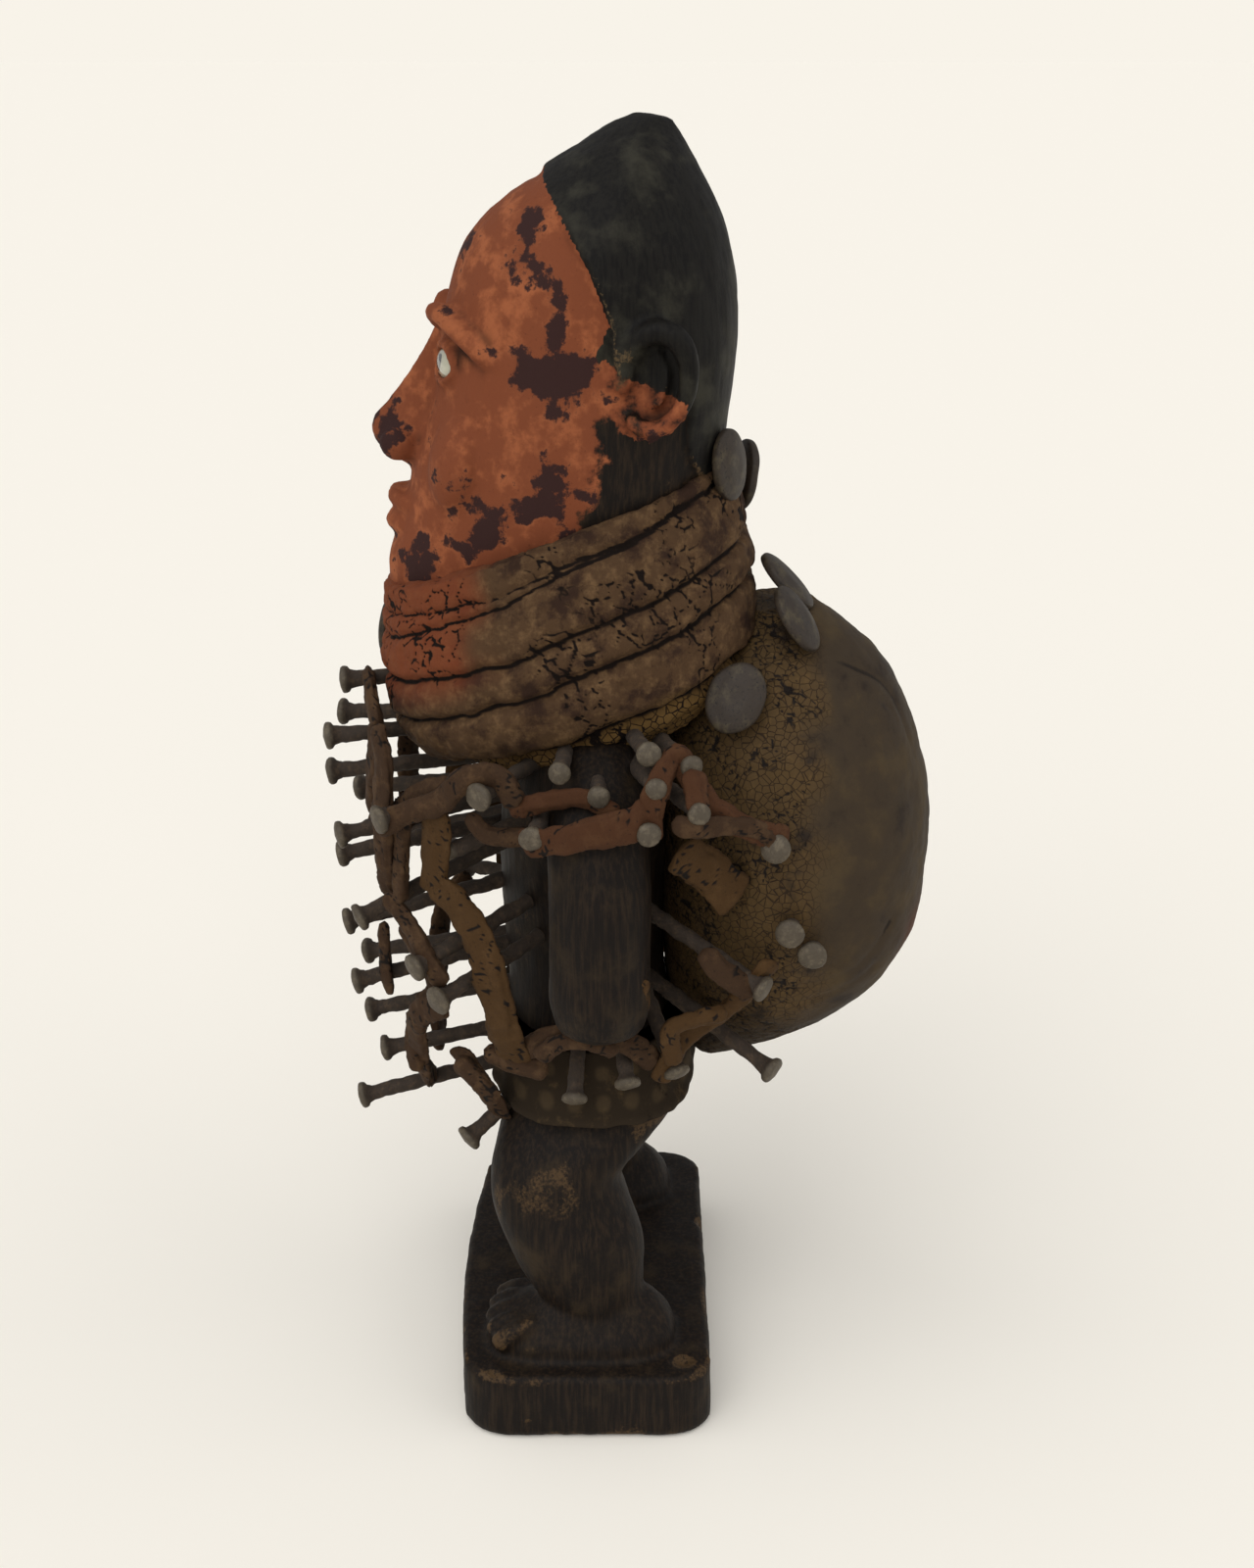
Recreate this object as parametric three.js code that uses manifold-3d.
// A nkisi: a standing figure carved from one piece of wood, with glass eyes, a crusted wrapping round the
// neck, a hide-covered pack on its back, iron nails driven in all round the trunk and strips of hide wound
// between them. Millimetres, +Z up, origin in the middle of the base's underside. The figure faces -Y and its
// left side is +X.
import * as THREE from 'three';
import { mergeVertices } from 'three/addons/utils/BufferGeometryUtils.js';
import Module from 'manifold-3d';

const wasm = await Module();
wasm.setup();

// Driving dimensions
const GAP = 0.3; // clearance kept between neighbouring pieces
const BASE = { width: 135, depth: 78, height: 23, corner: 15, bow: 5, edge: 2.5 };
const CHIN = [0, -58, 262]; // the head's own origin; its heights below are measured up from here
const HEAD_TILT = 10; // degrees, crown leaning back
const EYE = { apart: 31, height: 73, width: 16, opening: 9, depth: 6, front: 7, splay: 18 };
const EAR = {
  side: 38.5,
  back: 64,
  height: 82,
  deep: 9.5,
  tall: 13.5,
  rim: 2.6,
  lift: 1.6,
  hole: { radius: 1.7, forwards: 1, raised: 3 },
  boss: [0.7, 0.95], // where the boss starts and ends, in shares of the ear's distance from the middle
  holeEnds: [0.8, 1.2],
  turns: { first: -125, last: 165, steps: 6 }, // where the C starts and ends, in degrees
};
const FOOT = { apart: 43, front: -36, fan: 6.5 };
const TOE_GROOVE = { wide: 0.8, deep: 5, low: 27, high: 36, length: 16, narrowing: 0.55 };
const COLLAR = { middle: [0, -5, 255], slope: 21, rolls: 5, groove: 2.2, widening: 1.15 };
const CLOTH = { thick: 2.2, runOut: 6 };
const NAIL = { shank: 2.4, head: 4.3, edge: 0.6, dome: 1.6, sides: 6, farSides: 5, holeSides: 4 };
const HIDE = { wide: 3.6, thick: 1.5, rowsPerPoint: 1.4 };
const DISC = { wide: 8.6, tall: 10.8, thick: 2 };
const TRUNK = { wide: 26, deep: 19 }; // how far from the trunk's axis the nail tips end
const NET = { side: 62, front: 76 }; // the oval that the nail heads stand on, half width and half depth
const FAR_SHIFT = 3; // how much lower the far side's nails stand
const FAR_STRIP_DEPTH = 6; // how far below the heads the far side's strips run

const radians = THREE.MathUtils.degToRad;
const vector = (p) => new THREE.Vector3(...p);

// A three.js geometry as a solid that can be joined and cut
function solid(geometry) {
  geometry.deleteAttribute('normal');
  geometry.deleteAttribute('uv');
  const welded = mergeVertices(geometry, 1e-4);
  const corners = welded.index.array;
  const kept = [];
  for (let i = 0; i < corners.length; i += 3) {
    const [a, b, c] = corners.slice(i, i + 3);
    if (a !== b && b !== c && c !== a) kept.push(a, b, c);
  }
  const vertProperties = welded.attributes.position.array;
  return new wasm.Manifold(new wasm.Mesh({ numProp: 3, vertProperties, triVerts: new Uint32Array(kept) }));
}

const join = (solids) => solids.reduce((whole, next) => whole.add(next));
const cut = (body, cutters) => cutters.reduce((left, cutter) => left.subtract(cutter), body);
const biggest = (body) => body.decompose().sort((a, b) => b.volume() - a.volume())[0];

// A closed drum whose points go where place(turn, reach, up) says: turn is the angle round it, reach is 1 on
// the side and 0 in the middle of an end, and up runs from 0 to 1
function drum(sides, rows, place) {
  const geometry = new THREE.CylinderGeometry(1, 1, 1, sides, rows);
  const points = geometry.attributes.position;
  const p = new THREE.Vector3();
  for (let i = 0; i < points.count; i++) {
    p.fromBufferAttribute(points, i);
    const spot = place(Math.atan2(p.z, p.x), Math.hypot(p.x, p.z), p.y + 0.5);
    points.setXYZ(i, spot.x, spot.y, spot.z);
  }
  return solid(geometry);
}

const squared = (value, power) => Math.sign(value) * Math.abs(value) ** (2 / power);

// A body through level sections, each [height, front Y, back Y, half width, squareness, centre X]. Squareness
// 2 is an oval. relief(turn, up) raises the surface, and pace above 1 makes the rows closer towards the top
function loft(sections, { sides = 16, rows = 12, grow = 0, relief = () => 0, pace = 1 } = {}) {
  const heights = sections.map((s) => s[0]);
  const filled = sections.flatMap(([, front, back, half, power = 2, x = 0]) => [front, back, half, power, x]);
  const shape = new THREE.CubicInterpolant(heights, filled, 5);
  const low = heights[0] - grow;
  const high = heights.at(-1) + grow;
  return drum(sides, rows, (turn, reach, up) => {
    const z = THREE.MathUtils.lerp(low, high, up ** (1 / pace));
    const at = THREE.MathUtils.clamp(z, heights[0], heights.at(-1));
    const [front, back, half, power, x] = shape.evaluate(at);
    const more = grow + relief(turn, up);
    const across = (half + more) * reach * squared(Math.cos(turn), power);
    const deep = ((back - front) / 2 + more) * reach * squared(Math.sin(turn), power);
    return new THREE.Vector3(x + across, (front + back) / 2 - deep, z);
  });
}

const fromAxis = (p) => new THREE.Vector3(p.x, p.y * 0.7, 0);
const forwards = () => new THREE.Vector3(0, -1, 0);
const upwards = () => new THREE.Vector3(0, 0, 1);
const sideways = (p) => new THREE.Vector3(p.x, 0, 0);

// A rod along a smooth line through points, its flat side facing outward(point) and its ends drawn in. With
// corner set, its section is turned by that much, so that four sides make a flat band
function sweep(points, wide, thick, options = {}) {
  const { sides = 6, rows = 8, grow = 0, outward = fromAxis, end = 0.6, corner = 0 } = options;
  const line = new THREE.CatmullRomCurve3(points.map(vector));
  return drum(sides, rows, (angle, distance, up) => {
    const turn = angle + corner;
    const reach = distance / Math.cos(corner);
    const spot = line.getPointAt(up);
    const along = line.getTangentAt(up);
    const face = outward(spot);
    face.addScaledVector(along, -face.dot(along)).normalize();
    const across = along.clone().cross(face);
    const isEnd = up < 1e-6 || up > 1 - 1e-6;
    const slim = isEnd ? end : 1;
    spot.addScaledVector(across, (wide * slim + grow) * reach * Math.cos(turn));
    spot.addScaledVector(face, (thick * slim + grow) * reach * Math.sin(turn));
    return isEnd ? spot.addScaledVector(along, grow * Math.sign(up - 0.5)) : spot;
  });
}

// A flat shape in the YZ plane carried right across the figure along X
function slab(outline, halfWidth) {
  const shape = new THREE.Shape(outline.map(([y, z]) => new THREE.Vector2(y, z)));
  const geometry = new THREE.ExtrudeGeometry(shape, { depth: 2 * halfWidth, bevelEnabled: false });
  geometry.translate(0, 0, -halfWidth);
  const [x, y, z] = [[0, 1, 0], [0, 0, 1], [1, 0, 0]].map(vector);
  geometry.applyMatrix4(new THREE.Matrix4().makeBasis(x, y, z));
  return solid(geometry);
}

// The head's own frame: origin at the chin, -Y forwards, leaning back with the head
const HEAD = new THREE.Matrix4()
  .makeTranslation(...CHIN)
  .multiply(new THREE.Matrix4().makeRotationX(radians(-HEAD_TILT)));
const COLLAR_FRAME = new THREE.Matrix4()
  .makeTranslation(...COLLAR.middle)
  .multiply(new THREE.Matrix4().makeRotationX(radians(COLLAR.slope)));

// Carved figure
function blockBase() {
  const x = BASE.width / 2 - BASE.corner;
  const y = BASE.depth / 2 - BASE.corner;
  const r = BASE.corner - BASE.edge;
  const outline = new THREE.Shape();
  [[x, y], [-x, y], [-x, -y]].forEach(([cx, cy], quarter) => {
    outline.absarc(cx, cy, r, (quarter * Math.PI) / 2, ((quarter + 1) * Math.PI) / 2);
  });
  outline.quadraticCurveTo(x / 2, -y - r - 2 * BASE.bow, x, -y - r);
  outline.absarc(x, -y, r, -Math.PI / 2, 0);
  const geometry = new THREE.ExtrudeGeometry(outline, {
    depth: BASE.height - 2 * BASE.edge,
    bevelThickness: BASE.edge,
    bevelSize: BASE.edge,
    bevelSegments: 1,
    curveSegments: 3,
  });
  geometry.translate(0, 0, BASE.edge);
  return solid(geometry);
}

const TRUNK_SECTIONS = [
  [96, -22, 26, 33],
  [108, -25, 28, 36],
  [122, -26, 26, 34],
  [142, -27, 24, 30],
  [165, -28, 25, 32],
  [188, -28, 26, 37],
  [206, -26, 26, 43],
  [220, -24, 26, 42],
  [232, -30, 24, 33],
  [246, -34, 27, 27],
  [262, -38, 30, 25],
  [280, -34, 34, 25],
];
const LEG_SECTIONS = [
  [21, -5, 12, 8, 2, 42],
  [27, -5, 13.5, 9.5, 2, 42],
  [34, -12, 16, 12, 2, 42],
  [46, -21, 17.5, 15, 2, 41],
  [60, -27.5, 17, 17, 2, 40],
  [73, -31.5, 12.5, 17, 2, 38],
  [82, -31.5, 10.5, 17.5, 2, 36],
  [91, -29.5, 19, 19, 2, 31],
  [101, -26, 28, 20, 2, 24],
  [113, -22, 26, 19, 2, 18],
];
const FOOT_SECTIONS = [
  [20, -33, 28, 16, 3.2, 43],
  [28, -33, 27, 16, 3, 43],
  [33, -29, 25, 13, 2.6, 43],
  [38, -19, 21, 10, 2.3, 43],
  [43, -8, 15, 7, 2, 43],
];
const ARM_SECTIONS = [
  [139, -3, 11, 6, 2, 54],
  [142, -8, 16, 11, 2, 54.5],
  [148, -10.5, 18.5, 13.5, 2, 55],
  [165, -11, 19, 14, 2, 55],
  [190, -11, 19, 14.5, 2, 54],
  [205, -11, 18, 14, 2, 50],
  [218, -9, 16, 12, 2, 42],
  [227, -5, 13, 7, 2, 34],
];
const SKULL_SECTIONS = [
  [-14, 16, 64, 24, 2],
  [0, 1, 80, 26, 2.1],
  [8, -3, 85, 28, 2.2],
  [25, -1, 87, 32, 2.3],
  [42, 0, 88, 35, 2.3],
  [60, 3, 87, 37, 2.3],
  [78, 3, 86, 38, 2.2],
  [92, 3, 83.5, 38, 2.1],
  [106, 6, 79, 36.5, 2],
  [118, 14, 72, 32, 2],
  [128, 26, 64, 24, 2],
  [134, 39, 55, 10, 2],
];
const COIFFURE_SECTIONS = [
  [48, 8, 90, 37, 2.2],
  [65, 4, 89, 39.5, 2.2],
  [80, 1, 88.5, 41, 2.1],
  [94, 1, 87, 41, 2],
  [106, 4, 84.5, 39.5, 1.9],
  [118, 12, 80, 35.5, 1.8],
  [128, 22.5, 74.5, 29, 1.7],
  [137, 33, 67.5, 21, 1.6],
  [144, 41, 61.5, 11, 1.5],
  [148, 47.5, 57.5, 4, 1.5],
];
const HAIR_OUTLINE = [
  [18, 175],
  [25, 127],
  [33, 118],
  [42, 107],
  [50, 94],
  [54, 82],
  [74, 78],
  [78, 62],
  [88, 50],
  [110, 47],
  [110, 175],
];

const trunk = (grow = 0) => loft(TRUNK_SECTIONS, { sides: 10, rows: 8, grow });
const skull = (grow = 0) => loft(SKULL_SECTIONS, { sides: 14, rows: 10, grow }).transform(HEAD.elements);
const mirrorX = (sections) => sections.map((s) => [...s.slice(0, 5), -s[5]]);
const pair = (sections, options) => join([loft(sections, options), loft(mirrorX(sections), options)]);
const legs = (grow = 0) => pair(LEG_SECTIONS, { sides: 10, rows: 8, grow });
const arms = (grow = 0) => pair(ARM_SECTIONS, { sides: 10, rows: 5, grow });
const body = (grow = 0) => join([trunk(grow), legs(grow), arms(grow)]);

// A foot is a low wedge with grooves that fan out between its toes
function toeGroove(side, spread) {
  const { wide, deep, low, high, length, narrowing } = TOE_GROOVE;
  const start = [side * (FOOT.apart + spread * FOOT.fan), FOOT.front, low];
  const end = [side * (FOOT.apart + spread * FOOT.fan * narrowing), FOOT.front + length, high];
  return sweep([start, end], wide, deep, { sides: 4, rows: 1, outward: upwards });
}

function feet() {
  const whole = pair(FOOT_SECTIONS, { sides: 10, rows: 3 });
  const spreads = [-1.5, -0.5, 0.5, 1.5];
  return cut(whole, [-1, 1].flatMap((side) => spreads.map((spread) => toeGroove(side, spread))));
}

const hairForm = (grow = 0) => loft(COIFFURE_SECTIONS, { sides: 14, rows: 9, grow });
const hairRoom = () => hairForm(GAP).transform(HEAD.elements);
const coiffure = () => hairForm().intersect(slab(HAIR_OUTLINE, 60)).transform(HEAD.elements);

// An ear is an oval boss with a C-shaped rim standing on it, open towards the front
function earRim(side) {
  const { first, last, steps } = EAR.turns;
  const rim = [];
  for (let i = 0; i <= steps; i++) {
    const angle = radians(THREE.MathUtils.lerp(first, last, i / steps));
    const x = side * (EAR.side + EAR.lift * Math.sin((i / steps) * Math.PI));
    rim.push([x, EAR.back + EAR.deep * Math.cos(angle), EAR.height + EAR.tall * Math.sin(angle)]);
  }
  return sweep(rim, EAR.rim, EAR.rim + 0.6, { sides: 5, rows: 8, outward: sideways });
}

function earBoss(side) {
  const ends = EAR.boss.map((share) => [side * EAR.side * share, EAR.back, EAR.height]);
  return sweep(ends, EAR.deep, EAR.tall, { sides: 9, rows: 1, end: 1, outward: upwards });
}

const ear = (side) => earRim(side).add(earBoss(side)).transform(HEAD.elements);

function earHole(side) {
  const { radius, forwards: ahead, raised } = EAR.hole;
  const ends = EAR.holeEnds.map((share) => [side * EAR.side * share, EAR.back - ahead, EAR.height + raised]);
  const bore = sweep(ends, radius, radius, { sides: 5, rows: 1, end: 1, outward: upwards });
  return bore.transform(HEAD.elements);
}

// The face is a plain calm one: brow, nose base and chin divide it in thirds
function face() {
  const brow = (side) => [
    [side * 4, 3, 81],
    [side * 14, 2, 86.5],
    [side * 25, 9.5, 84],
    [side * 32, 22, 77],
  ];
  const nose = [
    [41, -6, 14, 9],
    [45, -12, 16, 12],
    [51, -13.5, 20, 10],
    [60, -9, 20, 6.5],
    [72, -3, 20, 5],
    [83, 2, 20, 5],
  ];
  const lip = (height, width, front) => [
    [-width, front + 8, height - 1],
    [-width / 2, front + 2, height + 0.5],
    [0, front, height],
    [width / 2, front + 2, height + 0.5],
    [width, front + 8, height - 1],
  ];
  const solids = [
    sweep(brow(1), 3, 3.4, { sides: 5, rows: 4, outward: forwards }),
    sweep(brow(-1), 3, 3.4, { sides: 5, rows: 4, outward: forwards }),
    loft(nose, { sides: 8, rows: 5 }),
    sweep(lip(29.5, 14, -3.5), 3.6, 3.6, { rows: 4, outward: forwards, end: 0.4 }),
    sweep(lip(22, 12.5, -2.5), 3.8, 3.6, { rows: 4, outward: forwards, end: 0.4 }),
  ];
  return join(solids).transform(HEAD.elements);
}

// A glass inlay, a flattened almond turned a little outwards
function eyeball(side, grow = 0) {
  const geometry = new THREE.SphereGeometry(1, 8, 5);
  geometry.scale(EYE.width / 2 + grow, EYE.depth / 2 + grow, EYE.opening / 2 + grow);
  geometry.rotateZ(side * radians(EYE.splay));
  geometry.translate((side * EYE.apart) / 2, EYE.front, EYE.height);
  geometry.applyMatrix4(HEAD);
  return solid(geometry);
}

// Neck wrapping: slanted rolls that grow wider towards the bottom
const COLLAR_SECTIONS = [
  [-36, -26, 34, 33, 2.2],
  [-28, -46, 46, 42, 2.2],
  [-12, -61, 54, 46, 2.2],
  [0, -60, 57.5, 46, 2.2],
  [15, -55, 60, 43, 2.2],
  [29, -48, 60, 38, 2.2],
];

function collarForm(grow = 0) {
  const relief = (turn, up) => -COLLAR.groove * (1 - Math.abs(Math.sin(Math.PI * COLLAR.rolls * up)));
  const options = { sides: 13, rows: COLLAR.rolls * 3, grow, relief, pace: COLLAR.widening };
  return loft(COLLAR_SECTIONS, options).transform(COLLAR_FRAME.elements);
}

// Back pack: a full round bundle
const PACK_SECTIONS = [
  [107, 34, 45, 8],
  [113, 31, 55, 16],
  [122, 28, 73, 26],
  [135, 25, 91, 37],
  [155, 23, 104, 45],
  [175, 22, 107, 48],
  [202, 22, 106, 46],
  [228, 26, 98, 38],
  [247, 36, 84.5, 27],
  [259, 48, 70, 13],
];
const packForm = (grow = 0) => loft(PACK_SECTIONS, { sides: 14, rows: 10, grow });

// Hip cloth: a thin band round the hips, given by its inside
const CLOTH_SECTIONS = [
  [104, -29.5, 32, 47, 2.6],
  [113, -29, 31, 42, 2.4],
  [125, -30, 30, 38, 2.2],
];
const clothForm = (grow = 0) => loft(CLOTH_SECTIONS, { sides: 12, rows: 2, grow: CLOTH.thick + grow });

// The room inside the cloth runs out above and below it
function hipRoom() {
  const rise = [-CLOTH.runOut, 0, CLOTH.runOut];
  return loft(CLOTH_SECTIONS.map(([z, ...rest], i) => [z + rise[i], ...rest]), { sides: 12, rows: 2 });
}

// Flat discs: middle, the way the face looks, and how far it is turned
const DISCS = [
  { at: [35.2, 43.6, 239.6], facing: [0.9, -0.15, 0.4], turn: 20 },
  { at: [21.2, 61.9, 259.4], facing: [0.3, 0.75, 0.6], turn: 10 },
  { at: [6, 60, 266.6], facing: [0.1, 0.7, 0.7], turn: 0 },
  { at: [15, 41.5, 303.6], facing: [0.5, 0.85, 0.05], turn: -15 },
  { at: [-12, 47.4, 295], facing: [-0.3, 0.9, -0.2], turn: 15 },
  { at: [-14, -61.3, 247], facing: [-0.3, -0.95, 0.1], turn: 0 },
];

function disc({ at, facing, turn }, grow = 0) {
  const half = DISC.thick + grow;
  const outline = [[0, -half], [0.75, -half], [1, 0], [0.75, half], [0, half]];
  const geometry = latheOf(outline, 8);
  geometry.scale(DISC.wide + grow, 1, DISC.tall + grow);
  geometry.rotateY(radians(turn));
  const face = vector(facing).normalize();
  const flat = new THREE.Vector3(0, 0, 1).addScaledVector(face, -face.z).normalize();
  geometry.applyMatrix4(new THREE.Matrix4().makeBasis(face.clone().cross(flat), face, flat));
  geometry.translate(...at);
  return solid(geometry);
}

// Nails: where each head stands, then how much higher its tip ends, then its head's radius
const TRUNK_NAILS = {
  front_1: [4, -74, 235, 4],
  front_2: [16, -78, 221, 3],
  front_3: [-4, -81, 202, 8],
  front_4: [24, -75, 192, 10],
  front_5: [4, -78, 177, 12],
  front_6: [34, -69, 169, 22],
  front_7: [12, -76, 157, 14],
  front_8: [14, -74, 137, 12],
  front_9: [-6, -73, 116, 14],
  front_10: [6, -67, 108, 9],
  front_11: [14, -74, 95, 12],
  side_1: [46, -60, 206, 8],
  side_2: [50, -51, 160, 12],
  side_3: [54, -44, 151, 9, 4.6],
  side_4: [56, -30, 217, 4],
};
// Nails that keep an axis of their own: head, tip, head radius
const OWN_NAILS = {
  shoulder_1: [[58, -7, 225], [24, -5, 225], 3.3],
  shoulder_2: [[62, 4, 219.5], [28, 3, 218], 3.3],
  shoulder_3: [[65, -15, 208], [30, -9, 208], 3.6],
  shoulder_4: [[60, 18, 231.5], [26, 11, 228], 3.7],
  shoulder_5: [[58, 30, 227], [24, 18, 226], 3.3],
  shoulder_6: [[65, 20, 223], [30, 12, 220], 3.2],
  shoulder_7: [[69, 18, 211], [34, 10, 211], 3.6],
  shoulder_8: [[66, 32, 216], [32, 19, 215], 3.4],
  pack_1: [[55, 55, 200.5], [34, 58, 196], 4.4],
  pack_2: [[54, 60, 173], [32, 64, 172], 4.4],
  pack_3: [[52, 67, 165], [31, 70, 165], 4.4],
  pack_4: [[56, 52, 156], [28, 11, 174], 4.2],
  pack_5: [[48, 56, 124], [18, 15, 144], 4.4],
  hip_1: [[52, -4, 116.5], [26, -2, 143], 4],
  hip_2: [[54, 12, 123], [27, 6, 151], 4],
  hip_3: [[50, 27, 124.5], [24, 13, 152], 4.2],
  hip_4: [[36, -38, 92.5], [19, -9, 113], 4.4],
};
const SPIKE = { head: [45, -40, 195.5], tip: [24, -9, 201], rim: 2.6, shank: 2.6 };

function intoTrunk([x, y, z, rise, rim = NAIL.head]) {
  const turn = Math.atan2(x / NET.side, -y / NET.front);
  return { head: [x, y, z], tip: [TRUNK.wide * Math.sin(turn), -TRUNK.deep * Math.cos(turn), z + rise], rim };
}

const nails = { spike: { ...SPIKE } };
for (const [name, row] of Object.entries(TRUNK_NAILS)) nails[name] = intoTrunk(row);
for (const [name, [head, tip, rim]] of Object.entries(OWN_NAILS)) nails[name] = { head, tip, rim };

function latheOf(outline, sides) {
  const profile = outline.map(([r, y]) => new THREE.Vector2(r, y));
  return new THREE.LatheGeometry(profile, sides);
}

function nailTurn({ head, tip }) {
  const axis = vector(head).sub(vector(tip)).normalize();
  return new THREE.Quaternion().setFromUnitVectors(new THREE.Vector3(0, 1, 0), axis);
}

// A nail stands along its own Y from its tip: a shank and a low cone for a head
function nailGeometry({ head, tip, rim, shank = NAIL.shank }, sides = NAIL.sides) {
  const length = vector(head).distanceTo(vector(tip));
  const top = length + NAIL.edge + NAIL.dome;
  return latheOf([[0, 0], [shank, 0], [shank, length], [rim, length + NAIL.edge], [0, top]], sides);
}

function nailInPlace(geometry, spec) {
  geometry.applyQuaternion(nailTurn(spec));
  geometry.translate(...spec.tip);
  return solid(geometry);
}

// The hole that a nail needs has fewer sides, and is wide enough for its flats to clear the nail too
function nailHole(spec) {
  const spread = 1 / Math.cos(Math.PI / NAIL.holeSides);
  const shank = (spec.shank ?? NAIL.shank) * spread + GAP * spread;
  const rim = spec.rim * spread + GAP * spread;
  const length = vector(spec.head).distanceTo(vector(spec.tip));
  const top = length + NAIL.edge + NAIL.dome + GAP;
  const ledge = length - GAP;
  const outline = [[0, -GAP], [shank, -GAP], [shank, ledge], [rim, ledge], [rim, top], [0, top]];
  return nailInPlace(latheOf(outline, NAIL.holeSides), spec);
}

// Hide strips: the points that each one passes, and its half width where it isn't the usual one
const STRIPS = {
  crown: { path: [[4, -67.5, 235.5], [12, -66, 237], [20, -64, 232], [26, -62, 227]] },
  chest: {
    path: [[27, -62, 229], [33, -60, 215], [36, -61, 198], [34, -61, 184], [30.5, -60, 174]],
    wide: 4.6,
  },
  shoulder_loop: {
    path: [[43, -62, 202], [47, -53, 208], [50, -42, 213], [54, -34, 222], [54, -25, 222], [56, -19, 214]],
  },
  side: { path: [[47, -44, 211], [46, -44, 201], [45, -45, 190], [44, -46, 181]], wide: 5 },
  inner: { path: [[42, -53.5, 207], [39, -55, 195], [39, -56, 186], [41, -56, 176]], wide: 3.2 },
  ochre: {
    path: [[44, -46, 185], [50, -37, 179], [53, -31, 168], [54, -28, 154], [52, -25, 139], [46, -22, 125]],
    wide: 5.4,
  },
  slant: { path: [[37, -61, 178], [42, -54, 171], [47, -49, 163], [51, -42.5, 154]] },
  low_front: {
    path: [[52, -43, 149], [43, -52, 139], [35, -53, 125], [24, -53, 110], [11, -52, 101]],
    wide: 4.2,
  },
  low_side: { path: [[40, -40, 127], [37, -35, 115], [34, -30, 104], [31, -28, 97]], wide: 4.2 },
  hip: { path: [[44, -24, 124], [51, -13, 136], [54, 0, 139], [53, 12, 136], [49, 21, 126]] },
  hip_back: { path: [[49, 22, 120], [50, 28, 134], [47, 40, 142], [51, 48, 153], [54, 55, 164]] },
  arm: { path: [[60, -18, 204], [67, -8, 208], [71, 3, 212], [69, 13, 214], [62, 21, 217]], wide: 4.8 },
  band: { path: [[66, 18, 207], [65, 20, 221], [57, 26, 230], [60, 35, 216], [56, 50, 206], [50, 59, 202]] },
};

const strip = ({ path, wide = HIDE.wide }, grow = 0) => {
  const rows = Math.ceil(HIDE.rowsPerPoint * (path.length - 1));
  return sweep(path, wide, HIDE.thick, { sides: 4, rows, grow, corner: Math.PI / 4 });
};

// Far side: mirrored nails a little lower, and two strips that run from nail to nail just under their heads
const FAR_NETS = {
  upper: ['front_2', 'front_4', 'side_1', 'side_4', 'shoulder_3', 'shoulder_8', 'pack_1'],
  lower: ['front_8', 'front_6', 'side_2', 'side_3', 'hip_2', 'hip_3', 'pack_4'],
};
const toFarSide = ([x, y, z]) => [-x, y, z - FAR_SHIFT];
const farNail = ({ head, tip, rim }) => ({ head: toFarSide(head), tip: toFarSide(tip), rim });

function underHead({ head, tip }) {
  const share = FAR_STRIP_DEPTH / vector(head).distanceTo(vector(tip));
  return vector(head).lerp(vector(tip), share).toArray();
}

// Finishes
function finish(color, roughness, metalness = 0) {
  return new THREE.MeshStandardMaterial({ color, roughness, metalness });
}

const FINISH = {
  wood: finish(0x2e2019, 0.55),
  glass: finish(0x8fa08c, 0.15),
  crust: finish(0x45311f, 0.9),
  packHide: finish(0x54402a, 0.8),
  cloth: finish(0x2c241b, 0.95),
  disc: finish(0x36322d, 0.5),
  iron: finish(0x4a4038, 0.6, 0.7),
  hide: finish(0x4c3320, 0.85),
};

function piece(name, shape, material) {
  const { vertProperties, triVerts } = shape.getMesh();
  const geometry = new THREE.BufferGeometry();
  geometry.setAttribute('position', new THREE.BufferAttribute(vertProperties, 3));
  geometry.setIndex(new THREE.BufferAttribute(triVerts, 1));
  geometry.computeVertexNormals();
  const mesh = new THREE.Mesh(geometry, material);
  mesh.name = name;
  return mesh;
}

const nkisi = new THREE.Group();
const add = (name, shape, material) => nkisi.add(piece(name, shape, material));

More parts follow.
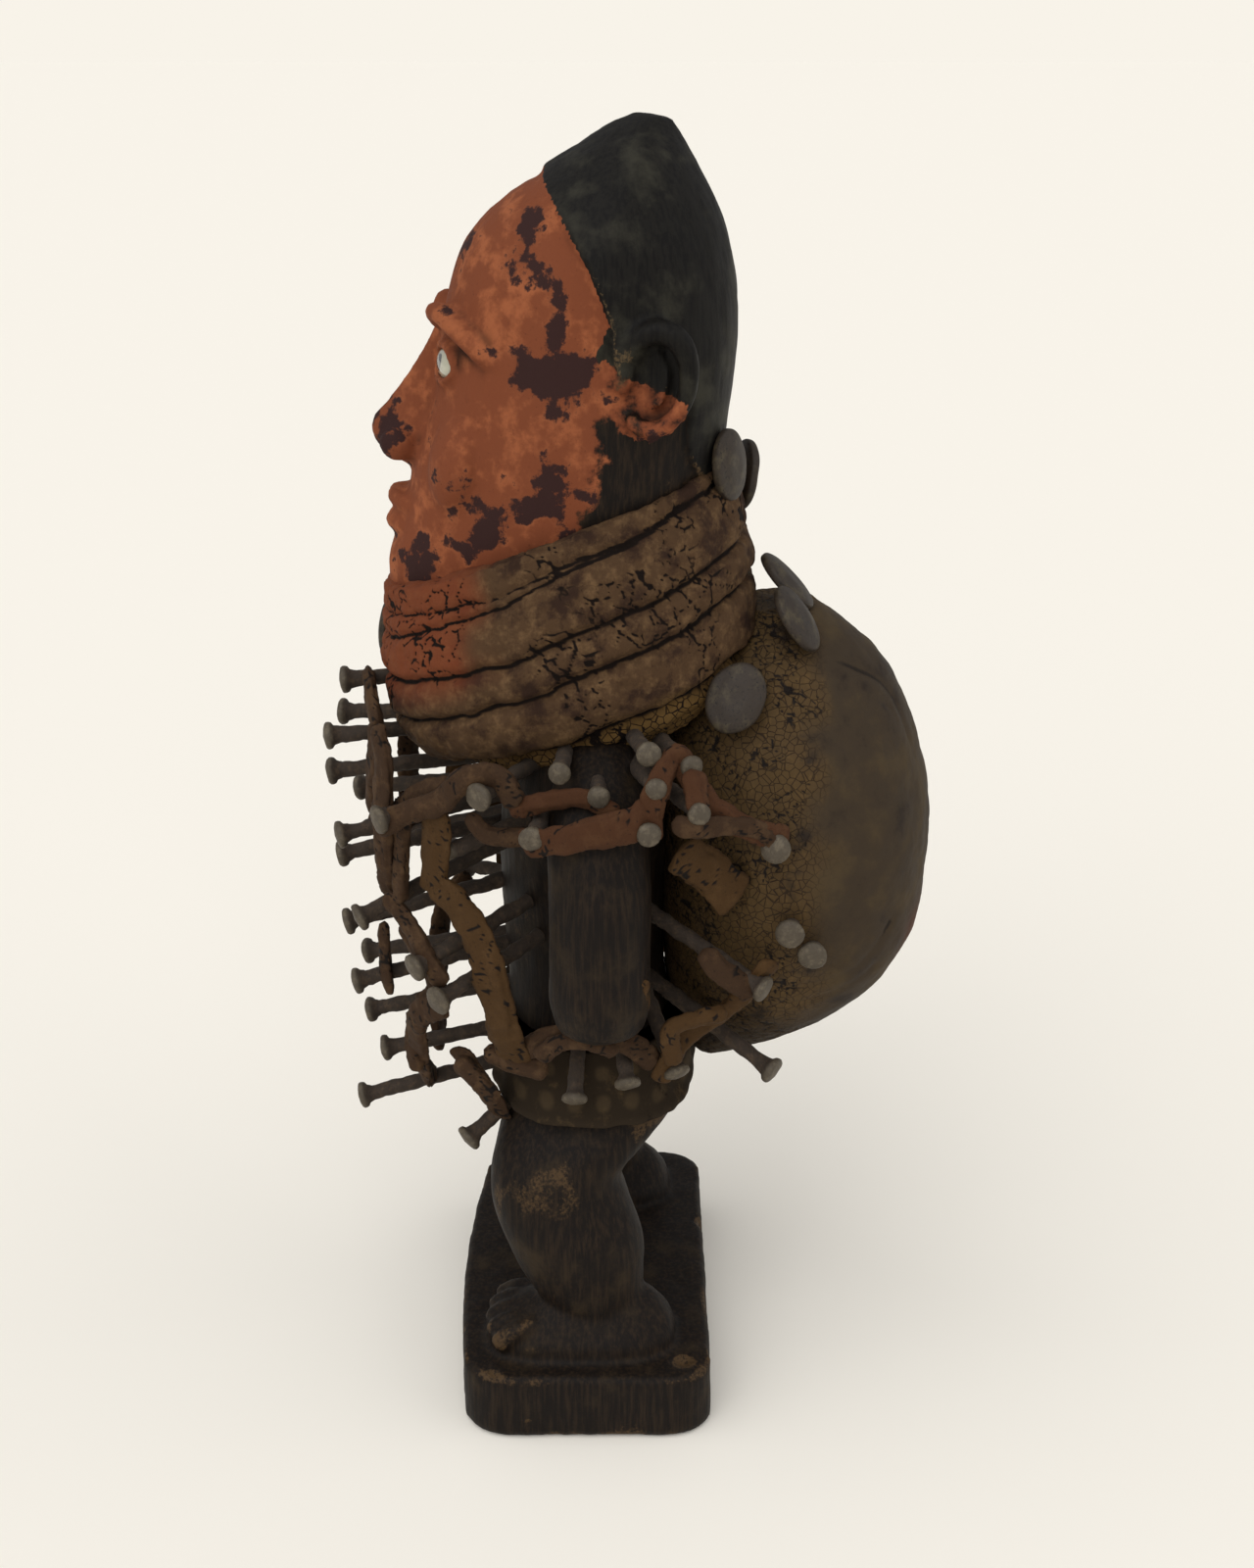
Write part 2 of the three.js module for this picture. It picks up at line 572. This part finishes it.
// Everything that a nail passes through gets a hole for it
const nearHoles = Object.values(nails).map(nailHole);
const farNets = Object.entries(FAR_NETS).map(([name, path]) => {
  return [name, path.map((nail) => farNail(nails[nail]))];
});
const holes = [...nearHoles, ...farNets.flatMap(([, specs]) => specs.map(nailHole))];
const trim = (shape, neighbours) => biggest(cut(shape, [...neighbours, ...holes]));

const carved = [blockBase(), body(), feet(), skull(), coiffure(), ear(1), ear(-1), face()];
const sockets = [eyeball(1, GAP), eyeball(-1, GAP), earHole(1), earHole(-1)];
add('wooden_figure', trim(join(carved), sockets), FINISH.wood);
add('eye_left', eyeball(1), FINISH.glass);
add('eye_right', eyeball(-1), FINISH.glass);

// Each piece leaves room for the ones under it
const bodyRoom = [trunk(GAP), arms(GAP), legs(GAP), skull(GAP), hairRoom()];
const packRoom = packForm(GAP);
add('back_pack', trim(packForm(), bodyRoom), FINISH.packHide);
add('neck_collar', trim(collarForm(), [...bodyRoom, packRoom]), FINISH.crust);
add('hip_cloth', trim(clothForm(), [hipRoom(), ...bodyRoom, packRoom]), FINISH.cloth);

const covered = [...bodyRoom, packRoom, collarForm(GAP), clothForm(GAP)];
DISCS.forEach((spec, i) => add(`seed_disc_${i + 1}`, trim(disc(spec), covered), FINISH.disc));

for (const [name, spec] of Object.entries(nails)) {
  const mesh = new THREE.Mesh(nailGeometry(spec), FINISH.iron);
  mesh.position.set(...spec.tip);
  mesh.quaternion.copy(nailTurn(spec));
  mesh.name = `nail_${name}`;
  nkisi.add(mesh);
}

// A strip gives way to what it lies on, to the nails and to the strips laid before it
const laid = [...covered, ...DISCS.map((spec) => disc(spec, GAP))];
for (const [name, spec] of Object.entries(STRIPS)) {
  add(`strip_${name}`, trim(strip(spec), laid), FINISH.hide);
  laid.push(strip(spec, GAP));
}

for (const [name, specs] of farNets) {
  const loose = cut(strip({ path: specs.map(underHead) }), [...laid, ...nearHoles]);
  const driven = specs.map((spec) => nailInPlace(nailGeometry(spec, NAIL.farSides), spec));
  add(`right_net_${name}`, biggest(join([loose, ...driven])), FINISH.hide);
}

export default nkisi;
